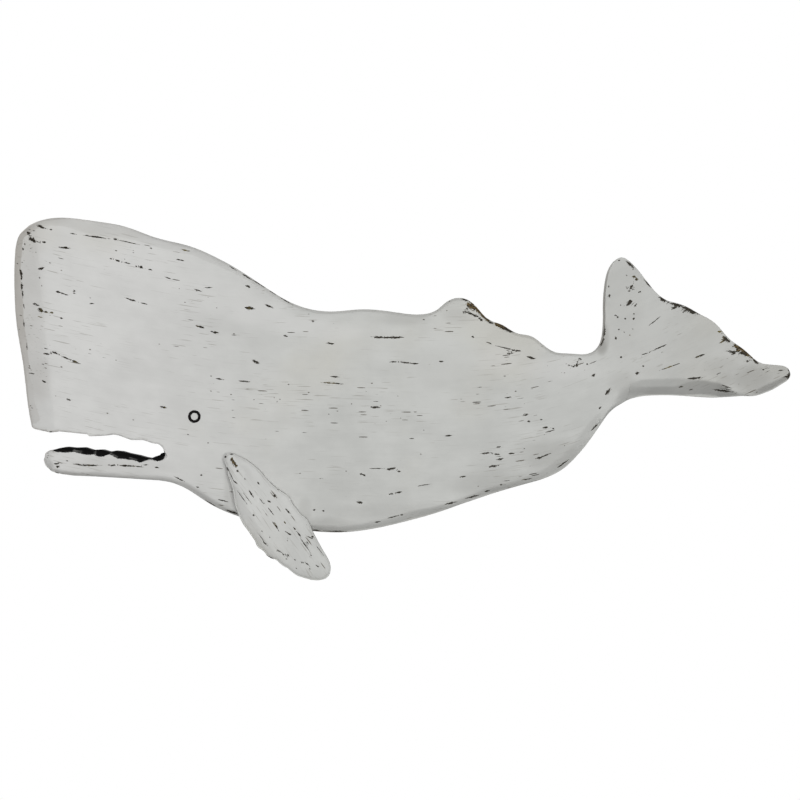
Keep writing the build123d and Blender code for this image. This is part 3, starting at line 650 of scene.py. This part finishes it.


# The wear of the paint and the shade painted into it. A patch is a centre and a reach in pixels of the picture and an
# amount, and a stroke is a start, an end and a width.
paintwork = {
    # painted shade amounts: at the rim, on the side walls, and along the bevels of snout, top, belly and tail stock
    "rimShade": 0.22, "wallShade": 0.40, "snoutShade": 0.40, "topShade": 0.10, "bellyTone": 0.16, "stockShade": 0.05,
    "chipDent": 0.0003, "bareDent": 0.0010, "chipDepth": 0.0040, "bareDepth": 0.0085, "tear": 1.3, "sideWear": 0.9,
    # painted shade on the upper fluke's left side wall
    "sideShadePatches": [(604, 312, 12, 44, 0.55)],
    # painted shade: darker hollows, shade beside the fin, along the belly, and on the fluke's facets and tip
    "shadePatches": [  # where it is greyer
        (122, 466, 48, 9, 0.18), (31, 312, 13, 88, 0.11), (690, 345, 95, 60, 0.17), (625, 310, 26, 60, 0.20),
        (330, 500, 110, 34, 0.05), (330, 526, 28, 9, 0.26), (305, 509, 7, 12, 0.20), (229, 492, 5, 30, 0.20),
        (400, 514, 70, 12, 0.15), (500, 484, 50, 14, 0.20), (550, 455, 30, 15, 0.26), (405, 317, 22, 8, 0.26),
        (458, 316, 14, 7, 0.16), (735, 352, 12, 10, 0.16), (728, 379, 12, 9, 0.34), (622, 381, 14, 12, 0.26),
        (690, 372, 60, 12, 0.22), (38, 380, 12, 22, 0.16), (445, 372, 26, 18, 0.10), (640, 366, 34, 9, 0.16),
        (752, 379, 22, 14, 0.44), (722, 367, 22, 13, 0.30), (778, 372, 18, 10, 0.26), (602, 346, 6, 9, 0.60),
        (605, 338, 5, 16, 0.40),
    ],
    "lifts": [  # where it is whiter
        (195, 284, 34, 14, 0.40), (228, 300, 34, 14, 0.50), (258, 312, 30, 13, 0.62), (296, 325, 34, 10, 0.55),
        (335, 332, 30, 8, 0.40), (185, 345, 34, 14, 0.20), (500, 358, 22, 12, 0.40), (560, 369, 36, 11, 0.45),
        (135, 254, 26, 8, 0.25), (34, 360, 6, 14, 0.2),
    ],
    "worn": [  # where small dashes are many
        (350, 415, 75, 30, 1.0), (215, 478, 22, 14, 1.0), (440, 320, 40, 14, 0.6), (505, 348, 45, 16, 0.8),
        (520, 415, 50, 35, 0.35), (390, 475, 45, 22, 0.35), (585, 362, 18, 10, 0.8), (690, 362, 45, 18, 0.6),
        (160, 290, 60, 50, 0.3), (330, 345, 70, 30, 0.6),
    ],
    "calm": [(625, 300, 38, 48, 1.0)],  # where there are hardly any
    "rubbed": [  # where it is rubbed away to brown wood, on the dorsal hump and along the trailing edge
        (469.4, 305, 477.6, 308.6, 5.8), (477, 308.6, 483.4, 314.6, 5), (482, 314.6, 488.4, 320.4, 3.2),
        (496.4, 323.8, 506.4, 328.6, 4.2), (692, 308, 697.6, 311.4, 3), (736, 345.4, 744, 349.6, 3.6),
        (743, 349, 754, 356.4, 4.6), (738, 349.6, 748, 355, 2),
    ],
    "headChips": [
        (36.4, 225, 44.3, 228, 2.6), (26.4, 232, 30, 233.4, 2.4), (28.4, 238, 35, 241.2, 4.6),
        (32, 240.6, 38, 242.2, 2.8), (42.4, 242, 45.7, 242.6, 1.8), (24, 243, 24.4, 244.6, 2),
        (22, 248, 22.3, 249.6, 2), (50, 229.6, 51.6, 229.8, 1.6), (70, 233.3, 75.7, 234.3, 1.2),
        (84.3, 235.3, 107.9, 238.6, 1.8), (114, 239, 116.6, 239.6, 2.2), (118, 240, 138.6, 244.6, 1.1),
        (150, 248, 151.6, 248.6, 1.6), (60, 247.4, 69.3, 248, 2.6), (110, 258.6, 112, 259, 1.6),
        (115.7, 260, 120, 261.7, 2), (124, 262.4, 130.7, 264, 1.2), (135.6, 266, 137, 266.3, 1.5),
        (140, 266.8, 142.4, 267.6, 2.6), (148, 269, 152, 270, 1.3), (165, 277, 171.4, 279.3, 1.2),
        (177, 259.3, 183.6, 260.7, 1.4), (181.4, 249.3, 190, 251.4, 1.6), (193, 288.6, 202, 291.7, 1.1),
        (205, 287.6, 212, 287.6, 1.2), (196.4, 325.6, 204.3, 328, 2.2), (211, 331.6, 218, 333, 2.2),
        (39, 269, 43, 268, 3.2), (19, 269.6, 20.6, 275, 3.4), (20.4, 277, 20.6, 279.6, 2),
        (20.8, 283.4, 20.6, 290, 3), (21.2, 290.6, 21.6, 297, 2.6), (16, 263, 17, 264.4, 2),
        (33, 303.6, 37, 304.3, 2.2), (38, 309, 42.6, 311.2, 3.8), (43, 311, 48, 312.6, 2),
        (51, 312.4, 53, 312.8, 2), (60.6, 318, 62, 318.4, 2), (56.4, 291.4, 60, 292.6, 2),
        (60, 292.6, 68, 295.4, 1.2), (73.4, 290.2, 75, 290.8, 1.1), (73, 293.2, 75.2, 293.4, 1.2),
        (125.7, 298, 135.7, 301.4, 1.9), (140.7, 302.6, 146.4, 304.3, 1.4), (90, 303.6, 93.6, 303.6, 1.3),
        (22.2, 319, 23.6, 329, 1.8), (25, 340, 26.4, 350, 1.6), (44, 353, 49, 354.5, 2.2),
        (52, 351.5, 58, 354, 2), (60, 355.5, 70, 359.6, 1.5), (72, 360.5, 77.5, 362.2, 2),
        (42, 380.6, 45, 382, 2.4), (28, 373, 33, 373.6, 2), (67, 399, 70, 400.4, 2.2),
        (160, 406.4, 166, 407.6, 2.2), (36, 430.6, 41, 431.4, 1.6), (42, 431.2, 44, 431.6, 1.4),
        (49, 432, 52, 432, 1.6), (39, 277, 39.8, 278.4, 1.2), (41.4, 285.4, 42.2, 286.2, 1.4),
        (22.6, 303, 23.4, 309, 1.2), (37.4, 316.4, 42, 317.4, 1.1),
    ],
    "backChips": [
        (246, 307.6, 253, 308.6, 3.6), (253, 360.4, 259, 363, 3.2), (266, 305, 272.5, 307.6, 2.4),
        (246, 285.6, 249.8, 287.4, 2.2), (229, 265.8, 236, 270.2, 1.1), (243, 274.4, 250, 278.6, 1.7),
        (252, 279.6, 266, 287.8, 1.4), (268, 289.6, 276, 294.8, 1.1), (280, 297.2, 292, 304.6, 1.1),
        (216, 378.5, 223, 379.5, 1.8), (240, 381, 249, 381.6, 1.8), (284, 335.6, 287, 336.4, 2),
        (312, 321, 314, 321.4, 1.8), (327, 343.2, 334, 343.8, 1.8), (331, 376.6, 339, 376.9, 2),
        (322, 382.4, 344, 384, 1.7), (373, 336.8, 386, 338, 2.4), (386, 337.4, 402, 337.4, 2.6),
        (400, 362, 409.3, 363, 2), (411.4, 363.6, 418, 363.6, 1.6), (389, 362, 397, 362, 1.5),
        (439.3, 361.4, 443, 361.4, 1.8), (371, 407.2, 379, 407.4, 2.6), (497, 346, 514, 350, 1.3),
        (513.6, 350.6, 520, 351, 2.2), (486.4, 342, 492, 344, 1.3), (507, 353, 510.7, 354, 2),
        (528, 357, 535, 358.6, 2.2), (472, 336.8, 474, 337.2, 2), (505, 397.8, 512, 397, 1.4),
        (523, 415.4, 527.6, 414.4, 2.6), (528, 421.4, 530, 421.6, 2.2), (543.6, 427.6, 547, 427.2, 2.8),
        (552.6, 428.4, 554, 428.8, 1.6), (540.4, 419.4, 542, 419.4, 1.4), (445, 436, 451.6, 435.4, 1.8),
        (410, 438.4, 413.6, 438.4, 1.2), (463, 312, 464.4, 312, 3), (467, 312.2, 472.6, 314.2, 2.4),
        (473.4, 315, 478.6, 317, 2.8), (480, 319.2, 482.6, 320.3, 2.6), (489.3, 322, 493, 323.3, 2.6),
        (462, 298.8, 468.6, 300.4, 2.8), (504, 328.6, 514, 332, 4.2), (466.4, 308.4, 468, 309, 1.8),
    ],
    "bellyChips": [
        (357.6, 502, 361.6, 502.6, 2.8), (360, 473.6, 363, 474.4, 2.2), (364, 475, 365, 475.4, 2),
        (371, 468.4, 382, 468.4, 1.2), (387.6, 469.2, 394.4, 468, 3), (398, 471.2, 400, 471.6, 2),
        (389, 494, 393, 493.6, 1.8), (397, 492.8, 401.6, 491.6, 2), (418, 486, 430, 484, 1.1),
        (460, 477, 465.6, 476.2, 1.6), (497, 447, 500, 446.6, 2), (481, 453.6, 490, 452.8, 1.8),
        (494, 454, 499.6, 454.4, 2), (509, 453.6, 514, 453.4, 1.6), (497, 459.6, 503, 458.6, 2),
        (489, 466.8, 498, 465.4, 2.4), (537, 458.4, 540.4, 457.6, 2.2), (540.4, 457.2, 551, 453, 1.5),
        (592, 430, 598, 424, 2), (558, 467.6, 568, 460.4, 1.5), (522, 480, 532, 478.6, 1.2),
        (500.4, 484.6, 502, 484.4, 1.5), (485, 491.6, 490, 490.4, 1.8), (467, 498, 479, 495, 2),
        (446, 504, 456, 502, 2), (388, 518, 398, 515.6, 1.2), (400.4, 515, 403, 514.4, 2),
        (375, 522.4, 380, 521.6, 1.2), (313.4, 509.6, 315, 509.8, 2), (322.4, 510.6, 324, 510.8, 2),
        (313, 530.6, 321, 531.4, 2.2), (323, 531.4, 346, 531.6, 1.3), (205, 500, 217, 508, 1.2),
        (226, 510, 237, 513.6, 2.6), (175, 476.7, 184, 481.4, 1.4), (196.6, 486.8, 198.4, 487.4, 1.6),
        (218, 499.2, 227.5, 501.7, 1.4), (200.4, 475, 202, 475.2, 1.7),
    ],
    "tailChips": [
        (628, 304.5, 631.6, 301, 4.6), (626.4, 306.8, 628, 305, 2), (634.4, 306.6, 637, 304, 1.8),
        (629, 291, 630.6, 290.6, 2.4), (631, 287.6, 633, 285, 2.4), (633, 276.6, 635.6, 276, 2),
        (636, 279.4, 638.4, 279, 2.6), (640.4, 291.6, 641.6, 291.4, 1.3), (609.4, 294.6, 609.8, 296.6, 2.6),
        (617.6, 316.4, 618.4, 317.8, 2), (625, 318.6, 626, 318.6, 1.7), (633.6, 319.4, 634.6, 317.6, 2),
        (615.6, 337, 616.4, 339.4, 2.2), (650, 325, 660, 317, 1.1), (642, 354.6, 648, 353, 1.2),
        (652, 351, 667, 344.4, 1.5), (695, 358, 706, 353.6, 2.1), (661, 370, 680, 363.4, 1.1),
        (689, 378.6, 703, 377.4, 2.3), (636.6, 373.6, 638.6, 372.8, 3.6), (620.4, 357.4, 622, 357, 2),
        (643, 366, 644.4, 366, 1.5), (592, 376, 594.8, 374.4, 2.8), (605.6, 394.4, 610.4, 389, 3.8),
        (599.4, 408.4, 601, 407, 2), (717, 389.6, 734, 392, 2.4), (723, 385, 732, 388, 1.2),
        (681, 387, 685, 386.4, 1.8), (641, 393, 650, 392.6, 1.5), (578.4, 359, 579.4, 358.4, 1.6),
        (577, 362, 578, 362, 1.7), (576.6, 366, 577.6, 366, 1.5), (627.6, 261.6, 634.6, 267.6, 2.8),
        (619, 260, 620.4, 260, 1.6), (645, 279.6, 652, 287, 2), (660.6, 297.4, 666, 300.4, 5),
        (671, 303, 684, 306, 4), (673, 309, 678, 306.6, 2.2), (684, 306.4, 697.6, 312.8, 6),
        (684, 312, 690, 307.4, 2), (719, 331.4, 723, 331, 2.2), (724.6, 336.6, 730.6, 341.4, 4.2),
        (721, 343, 727, 339.4, 1.6), (728, 351, 740, 351.6, 1.9), (733, 354, 736, 353.6, 2.5),
        (742, 354, 748, 352, 2), (747.4, 361, 749, 361, 2), (754, 359, 758.6, 363.4, 3),
        (762.4, 369.4, 764, 369.4, 1.6), (777, 370.6, 782, 370, 1.4), (787.6, 367.2, 789.6, 372.4, 3.2),
        (789.4, 373, 787.2, 378, 3), (783, 377, 788, 375.6, 1.5), (605, 286, 604.2, 300, 1.4),
        (604, 304, 603.8, 322, 1.6), (604.4, 324, 604.2, 337, 3.2), (603.2, 339, 600.6, 346, 2.8),
        (626.6, 274.8, 627.6, 275.4, 1.5), (639, 292.2, 640, 292.6, 1.5), (634, 288.8, 634.8, 289.4, 1.4),
        (608.8, 285.6, 609.2, 286.8, 1.5), (620.6, 304.8, 621.4, 305.2, 1.3), (634.2, 313, 634.6, 314.2, 1.5),
        (618.6, 329, 619.6, 329.6, 1.5), (632.6, 328.8, 633.4, 329.2, 1.3), (629.6, 334.8, 630.4, 335.2, 1.3),
        (624, 331.8, 624.8, 332.4, 1.4), (615.2, 314.8, 616, 315.4, 1.5), (626.6, 286.8, 627.4, 287.2, 1.3),
        (586.8, 363.6, 588, 364.4, 1.8), (576.4, 364, 577.4, 364.6, 1.8), (573, 366.4, 574, 366.8, 1.5),
        (579.4, 358, 581, 359.6, 2), (568, 365, 570, 365.4, 1.2),
    ],
    "jawChips": [
        (54.2, 463.7, 59, 463.7, 1.8), (56.3, 466.7, 59, 467, 2), (73, 464, 79, 464.3, 1.5),
        (80, 465, 100, 465.3, 2), (108, 465, 111, 464.7, 1.5), (111, 465.7, 115, 465, 2),
        (119.7, 465.3, 131.7, 466, 2), (135, 466, 142.5, 467, 1.3), (142.5, 465, 148.3, 464.7, 1.1),
        (155, 467, 158.3, 467.7, 1.8),
    ],
}


def allChips():
    return sum([paintwork[part + "Chips"] for part in ("head", "back", "belly", "tail", "jaw")], [])


def chipDents(body):
    chipped, bared = [np.clip(strokeMask(body.places, s), 0, 1) for s in (allChips(), paintwork["rubbed"])]
    return body.front * paintwork["chipDent"] * chipped + body.front * paintwork["bareDent"] * bared


def edgeShades(body):
    # how much painted shade darkens the bevel along the snout, the top, the belly and the tail stock
    look = paintwork
    x, _, z = body.places.T
    facingDown, onStock = ease(-body.wallNormals[:, 2], 0.1, 0.4), ease(x, 0.25, 0.33)
    snout = ease(-body.wallNormals[:, 0], 0.3, 0.6) * ease(-x, 0.29, 0.33) * (z > -0.112)
    snout = snout * (0.38 + 0.62 * ease(z, -0.08, 0.06))
    sides = look["topShade"] * ease(body.wallNormals[:, 2], 0, 0.4) + look["bellyTone"] * facingDown * (1 - onStock)
    tones = look["snoutShade"] * snout + (1 - snout) * sides + look["stockShade"] * onStock * facingDown
    return tones * (1 - ease(x, 0.345, 0.385)) * (1 - body.onFlukes)


def paintBody(skin, body, facetShade, atCorner, atEye):
    # writes the values that the paint's material reads
    look = paintwork
    x, y, z = body.places.T
    # less painted shade on the jaw's tip
    awayFromTip = 1 - 0.7 * ease(-x, 0.325, 0.34) * (z < -0.112)  # the jaw's tip is lighter
    edgeTone = edgeShades(body) * awayFromTip
    edge = np.clip((body.width - body.rim) * 1000, -9, 20)
    # painted shade: darker on the bevel, at its rim and on the facets
    rimShading = look["rimShade"] * awayFromTip * (1 - ease(body.rim, 0.0005, 0.0045)) * (1 - body.onFlukes)
    shade = (rimShading + 0.6 * edgeTone) * (edge > 0) + facetShade
    # patches of painted shade join the bevel's painted shade
    shadePatch = softPatches(x, z, look["shadePatches"])
    shade = relax(skin, np.maximum(shade, shadePatch) + 0.4 * np.minimum(shade, shadePatch), atCorner)
    # side walls are darkened with painted shade, more on the upper fluke's left side
    onSide = (1 - ease(np.abs(body.normals[:, 1]), 0.2, 0.5)) * (body.rim < 0.004)
    sideShade = (look["wallShade"] + softPatches(x, z, look["sideShadePatches"])) * onSide
    shade = np.where(atEye, 0, np.maximum(shade, sideShade))

    # chips stop at a ragged line down the side
    torn = 1 + look["tear"] * noiseAt(body.places, 0.005, 0.050, 0.005, 4.7)
    chipSunk, bareSunk = [np.maximum(y - body.face - look[d] * torn, 0) * 1000 for d in ("chipDepth", "bareDepth")]
    mark = strokeCoordinates(body.places, allChips())
    mark[:, 2] += 0.4 * chipSunk
    writeVector(skin, "mark", mark)
    writeVector(skin, "flow", flowAlong(x, y, z))

    lip = ease(z - body.bandZ, -0.0021, 0.0011) * (z < polylineHeight(x, mouth["jaw"]) + 0.004)
    lip = lip * ease(x, eastOf(mouth["blackFrom"]), eastOf(mouth["blackFull"])) * (x < eastOf(mouth["blackTo"]))
    arris = np.exp(-((body.rim - body.width) / 0.0022) ** 2) * (1 - body.onFlukes)
    wear = np.maximum(body.front * np.maximum(arris, softPatches(x, z, look["worn"])), look["sideWear"] * onSide)
    inPocket = (y > -0.011) & (body.rim > 0.014) & (body.normals[:, 1] > -0.5)
    values = {
        "edge": edge, "edgeTone": np.clip(edgeTone, 0, 1), "shade": np.clip(shade, 0, 1), "lip": lip,
        "lift": softPatches(x, z, look["lifts"]), "wear": wear - 2 * softPatches(x, z, look["calm"]),
        "bare": strokeMask(body.places, look["rubbed"]) * (1 - ease(bareSunk, 0, 6)),
        "smear": np.clip(strokeMask(body.places, mouth["smears"]), 0, 1),
        "rear": np.maximum(ease(body.normals[:, 1], 0.5, 0.8), inPocket),
    }
    for name, value in values.items():
        writeValue(skin, name, value)


def carveBody():
    cut = carving
    skin = voxelSkin(mergedCopy(cut["nodes"]), "carvedSkin", cut["voxel"], cut["smoothRounds"])
    places, normals = readPoints(skin)
    places = trimForehead(nudgeOutline(shapeMouth(places, normals), cut["nudges"]))
    body = measureBody(places, normals)
    depth, facetShade = cutFacets(body, easeEdges(body, flattenJaw(body, cutBevels(body))))
    atCorner = softPatches(places[:, 0], places[:, 2], [bevel["softCorner"]]) * body.frontSide
    depth = relax(skin, crownFace(body, depth), atCorner)
    atEye, border = eyeZone(body)
    depth[atEye] = depth[border].mean()
    moved = places.copy()
    moved[:, 0] += bevel["tipReach"] * ease(places[:, 0], 0.53, 0.605)
    moved[:, 1] = depth + chipDents(body)
    writePoints(skin, moved)
    paintBody(skin, body, facetShade, atCorner, atEye)
    print("carved skin", len(skin.vertices), "points")
    return skin


def buildBody(material):
    skin = carveBody()
    top, foot = [Vector((x, 0, z)) for x, z in (carving["tailTop"], carving["tailFoot"])]
    outward = Vector((0, -1, 0)).cross((foot - top).normalized())
    up = Vector((0, 0, 1))
    upper, lower = up * carving["upperGlue"], up * carving["lowerGlue"]
    pieces = {
        "carvedFlukes": ("tail_flukes", [(top, outward)]),
        "carvedUpper": ("upper_board", [(top, -outward), (upper, up)]),
        "carvedMiddle": ("middle_board", [(top, -outward), (upper, -up), (lower, up)]),
        "carvedLower": ("lower_board", [(top, -outward), (lower, -up)]),
    }
    for name, (node, planes) in pieces.items():
        addPiece(cutPiece(skin, name, planes), name, material, node)
    bpy.data.meshes.remove(skin)


# The fin's carving, with its facet line, outline shifts and chips in pixels of the picture
finCarving = {
    "voxel": 0.0011, "smoothRounds": 3, "wallBack": -0.054, "angle": 53.5,
    "crownDepth": 0.0022, "crownWidth": 0.018, "waveDepth": 0.0008, "waveSize": 0.03,
    "facet": [
        (224.5, 462), (237, 484), (247, 503), (257, 522), (266, 540), (278, 555), (292, 569),
    ],
    "facetSlope": 0.12, "facetDepth": 0.005, "facetShade": 0.05, "wallShade": 0.4,
    "strokeShare": 0.82, "chipDent": 0.0004, "wear": 1.0,
    "rubbed": [(232.8, 459.2, 236.4, 465.4, 3.1)],
    "nudges": [
        (299, 507, 9, 10, -2.0, 1.0), (276, 482, 14, 11, -1.6, 1.2), (309, 521, 6, 6, 0.7, -0.4),
        (250, 536, 9, 10, 0.9, -0.5), (257, 547, 4, 5, -0.9, 0.7), (270, 556, 4, 5, -0.8, 0.8),
        (283, 564, 4, 5, -0.6, 0.9), (314, 580, 16, 6, 0, -1.0),
    ],
    "strokes": [
        (225.2, 455.6, 226.4, 457.4, 3), (230.7, 454, 233.6, 454, 1.5), (237.6, 469.8, 238.4, 471, 2.8),
        (226.4, 466.4, 230, 471.7, 1.8), (230.4, 472.1, 234.3, 480.7, 1), (234.3, 480.7, 237.6, 483.3, 1.6),
        (249.3, 489.3, 253.6, 496.4, 2), (237.6, 490, 247.1, 502.9, 1.1), (243.6, 492, 252, 503, 0.7),
        (258.4, 482, 259.6, 483.6, 2), (274.4, 494.6, 275.4, 496, 3), (260, 498, 263.6, 502.6, 1.2),
        (268, 500, 271, 501.7, 2.4), (269.3, 508, 274.3, 514.6, 1.3), (285.7, 508.3, 290.7, 513.1, 2),
        (253.8, 514, 254.8, 515.4, 2), (284.6, 521, 286, 523, 1.8), (275, 522, 278.6, 528.6, 1.8),
        (294, 527, 296, 529, 2.4), (298, 532, 301, 536, 2), (301.4, 538.6, 310, 550.7, 1.4),
        (258.6, 533, 268, 545, 0.9), (288, 553.6, 289.2, 555.2, 2.4), (285.7, 530.7, 291.4, 535, 1.2),
        (308, 535.7, 314, 538.6, 1.5), (317, 545.7, 323.6, 554.3, 1.1), (305, 561.4, 310, 565, 1.5),
        (316.4, 564.3, 319.3, 566.4, 1.4), (266.4, 554.3, 279.3, 561.4, 0.9), (278, 549, 285, 554, 1.3),
        (264, 541, 266.4, 544, 1.8), (272.6, 520.8, 279, 530, 1), (270, 536.4, 270.8, 537.4, 1.4),
        (277, 549.6, 278, 550.6, 1.5), (283, 553.6, 284, 554.4, 1.3), (286.4, 557.6, 287.4, 558.4, 1.4),
        (294.6, 558.6, 295.8, 559.6, 1.3), (301.4, 561.2, 302.4, 562.4, 1.4), (309.6, 567.6, 310.6, 568.4, 1.4),
        (296.4, 567, 297.2, 568, 1.3), (290.4, 532.8, 291.4, 533.8, 1.4), (287.6, 539.6, 288.4, 540.4, 1.3),
        (312.6, 535.4, 313.6, 536.4, 1.5), (307, 541, 309, 543.4, 1.2), (311, 554, 312, 555, 1.3),
        (262, 530, 263, 531.4, 1.2), (245, 478, 246, 479.4, 1.2),
    ],
}


def buildFin(material):
    cut = finCarving
    skin = voxelSkin(mergedCopy(["pectoral_fin"]), "carvedFin", cut["voxel"], cut["smoothRounds"])
    places, normals = readPoints(skin)
    places = nudgeOutline(places, cut["nudges"])
    x, y, z = places.T
    isWall = (np.abs(normals[:, 1]) < carving["wallTurn"]) & (y > cut["wallBack"])
    rim = nearestWall(places, normals, isWall)[0]
    front = ease(-normals[:, 1], 0.15, 0.6)
    wave = noiseAt(places, cut["waveSize"], cut["waveSize"], cut["waveSize"])
    crown = cut["crownDepth"] * (1 - np.clip(rim / cut["crownWidth"], 0, 1)) ** 2
    fall = np.maximum(polylineHeight(x, cut["facet"]) - z, 0) * cut["facetSlope"] * (x > eastOf(cut["facet"][0][0]))
    dents = cut["chipDent"] * np.clip(strokeMask(places, cut["strokes"]), 0, 1)
    sunk = crown + np.minimum(fall, cut["facetDepth"]) + cut["waveDepth"] * (wave + 0.5) + dents
    moved = places.copy()
    moved[:, 1] += front * np.maximum(sunk, 0)
    writePoints(skin, moved)

    turn = math.radians(cut["angle"])  # the grain runs along the fin
    along = x * math.cos(turn) - z * math.sin(turn)
    across = x * math.sin(turn) + z * math.cos(turn)
    writeVector(skin, "flow", np.stack([along, across, y + 0.4], axis=1))
    thinner = [stroke[:4] + (stroke[4] * cut["strokeShare"],) for stroke in cut["strokes"]]
    writeVector(skin, "mark", strokeCoordinates(places, thinner))
    onSide = 1 - ease(np.abs(normals[:, 1]), 0.2, 0.5)
    # painted shade on the fin's facet and side walls
    writeValue(skin, "shade", cut["facetShade"] * ease(fall, 0.0001, 0.0012) + cut["wallShade"] * onSide)
    writeValue(skin, "bare", strokeMask(places, cut["rubbed"]))
    writeValue(skin, "wear", np.full(len(x), cut["wear"]))
    for name in ("lip", "smear", "lift", "edge", "edgeTone", "rear"):
        writeValue(skin, name, np.zeros(len(x)))
    addPiece(skin, "carvedFin", material, "pectoral_fin")


# The dark and light tones of the small pieces, and how their brushed lines run
fittings = {
    "ring": (tone(15, 14, 13), tone(30, 28, 26)), "ringSpecular": 0.04,
    "dowel": (tone(168, 126, 84), tone(208, 172, 128)),
    "platedSheet": (tone(160, 162, 164), tone(206, 207, 208), (60, 400, 900)),
    "platedWire": (tone(168, 168, 166), tone(212, 212, 210), (500, 400, 500)),
    "yellowScrew": (tone(166, 142, 84), tone(214, 194, 132), (700, 400, 700)),
}


def ringMaterial():
    material, start, shader = newMaterial("blackEyeRing")
    speck = start.node("ShaderNodeTexCoord", output="Object").grain(3.0, 0.6, 900.0)
    start.feed(shader.inputs["Base Color"], speck.step(0.6, 0.8).blend(*fittings["ring"]))
    start.feed(shader.inputs["Roughness"], 0.5 + speck * 0.2)
    shader.inputs["Specular IOR Level"].default_value = fittings["ringSpecular"]
    return material


def dowelMaterial():
    material, start, shader = newMaterial("turnedDowel")
    grain = start.node("ShaderNodeTexCoord", output="Object").stretch(220, 220, 30).grain(4.0, 0.6)
    start.feed(shader.inputs["Base Color"], grain.step(0.3, 0.7).blend(*fittings["dowel"]))
    start.feed(shader.inputs["Roughness"], 0.6 + grain * 0.15)
    return material


def steelMaterial(name):
    dull, bright, lines = fittings[name]
    material, start, shader = newMaterial(name)
    place = start.node("ShaderNodeTexCoord", output="Object")
    line = place.stretch(*lines).grain(3.0, 0.6)
    spot = place.grain(3.0, 0.6, 260.0)
    bump = start.node("ShaderNodeBump", {}, {"Strength": 0.12, "Distance": 0.0001, "Height": line})
    start.feed(shader.inputs["Base Color"], (line * 0.5 + spot * 0.5).step(0.35, 0.65).blend(dull, bright))
    start.feed(shader.inputs["Roughness"], 0.26 + spot.step(0.4, 0.75) * 0.22 + line * 0.08)
    start.feed(shader.inputs["Normal"], bump)
    shader.inputs["Metallic"].default_value = 1.0
    return material


def dressNode(name, material):
    nodes[name].data.materials.clear()
    nodes[name].data.materials.append(material)


def dressFittings():
    dressNode("eye_ring", ringMaterial())
    wood = dowelMaterial()
    for name in ("upper_joint_dowels", "lower_joint_dowels", "tail_dowels", "fin_dowels"):
        dressNode(name, wood)
    for ending, name in (("strap", "platedSheet"), ("ring", "platedWire"), ("screws", "yellowScrew")):
        steel = steelMaterial(name)
        for side in ("left", "right"):
            dressNode(side + "_hanger_" + ending, steel)
    print("fittings dressed")


# The floor, the lamps (where each shines from, and its power) and the camera
studio = {
    "floorX": 0.1, "floorZ": -0.75, "floorHalf": 1.0, "floorTone": 0.3, "floorGlow": 0.88,
    "lampAngle": 40, "ambient": 0.2,
    "lamps": {
        "key": ((0.15, -1.0, 0.07), 2.41),
        "leftFill": ((-1.0, 0.6, 0.35), 1.9), "rightFill": ((1.0, 0.6, 0.35), 1.9),
    },
    "cameraX": 0.1028, "cameraZ": -0.0586, "cameraGap": 3.5, "faceY": -0.045, "widthSeen": 1.0304, "sensor": 36,
}


def grey(level):
    return (level, level, level, 1)


def plainRays(start):
    names = ("Is Camera Ray", "Is Glossy Ray", "Is Transmission Ray")
    seen, mirrored, through = [start.node("ShaderNodeLightPath", output=name) for name in names]
    return start.math("MAXIMUM", seen, start.math("MAXIMUM", mirrored, through))


def buildFloor():
    bm = bmesh.new()
    bmesh.ops.create_grid(bm, x_segments=1, y_segments=1, size=studio["floorHalf"])
    bmesh.ops.translate(bm, verts=bm.verts, vec=(studio["floorX"], 0, studio["floorZ"]))
    mesh = bpy.data.meshes.new("paleFloor")
    bm.to_mesh(mesh)
    bm.free()
    floor = bpy.data.objects.new("paleFloor", mesh)
    scene.collection.objects.link(floor)
    material, start, shader = newMaterial("paleFloor")
    shader.inputs["Base Color"].default_value = grey(studio["floorTone"])
    shader.inputs["Roughness"].default_value = 0.9
    shader.inputs["Emission Strength"].default_value = 1.0
    start.feed(shader.inputs["Emission Color"], plainRays(start).blend(grey(0), grey(studio["floorGlow"])))
    mesh.materials.append(material)


def buildLight():
    for name, (origin, power) in studio["lamps"].items():
        lamp = bpy.data.lights.new(name, "SUN")
        lamp.energy = power
        lamp.angle = math.radians(studio["lampAngle"])
        holder = bpy.data.objects.new(name, lamp)
        holder.rotation_euler = (-Vector(origin)).to_track_quat("-Z", "Y").to_euler()
        scene.collection.objects.link(holder)
    world = bpy.data.worlds.new("paleRoom")
    scene.world = world
    world.use_nodes = True
    start = Wire(world.node_tree)
    back = next(n for n in world.node_tree.nodes if n.type == "BACKGROUND")
    back.inputs["Strength"].default_value = 1.0
    start.feed(back.inputs["Color"], plainRays(start).blend(grey(studio["ambient"]), grey(1)))


def buildCamera():
    lens = bpy.data.cameras.new("camera")
    lens.sensor_width = studio["sensor"]
    lens.lens = studio["sensor"] * studio["cameraGap"] / studio["widthSeen"]
    camera = bpy.data.objects.new("camera", lens)
    camera.location = (studio["cameraX"], studio["faceY"] - studio["cameraGap"], studio["cameraZ"])
    camera.rotation_euler = (math.pi / 2, 0, 0)
    scene.collection.objects.link(camera)
    scene.camera = camera
    print("floor, lamps and camera set")


paint = paintMaterial()
buildBody(paint)
buildFin(paint)
dressFittings()
buildFloor()
buildLight()
buildCamera()
scene.view_settings.view_transform = "Standard"
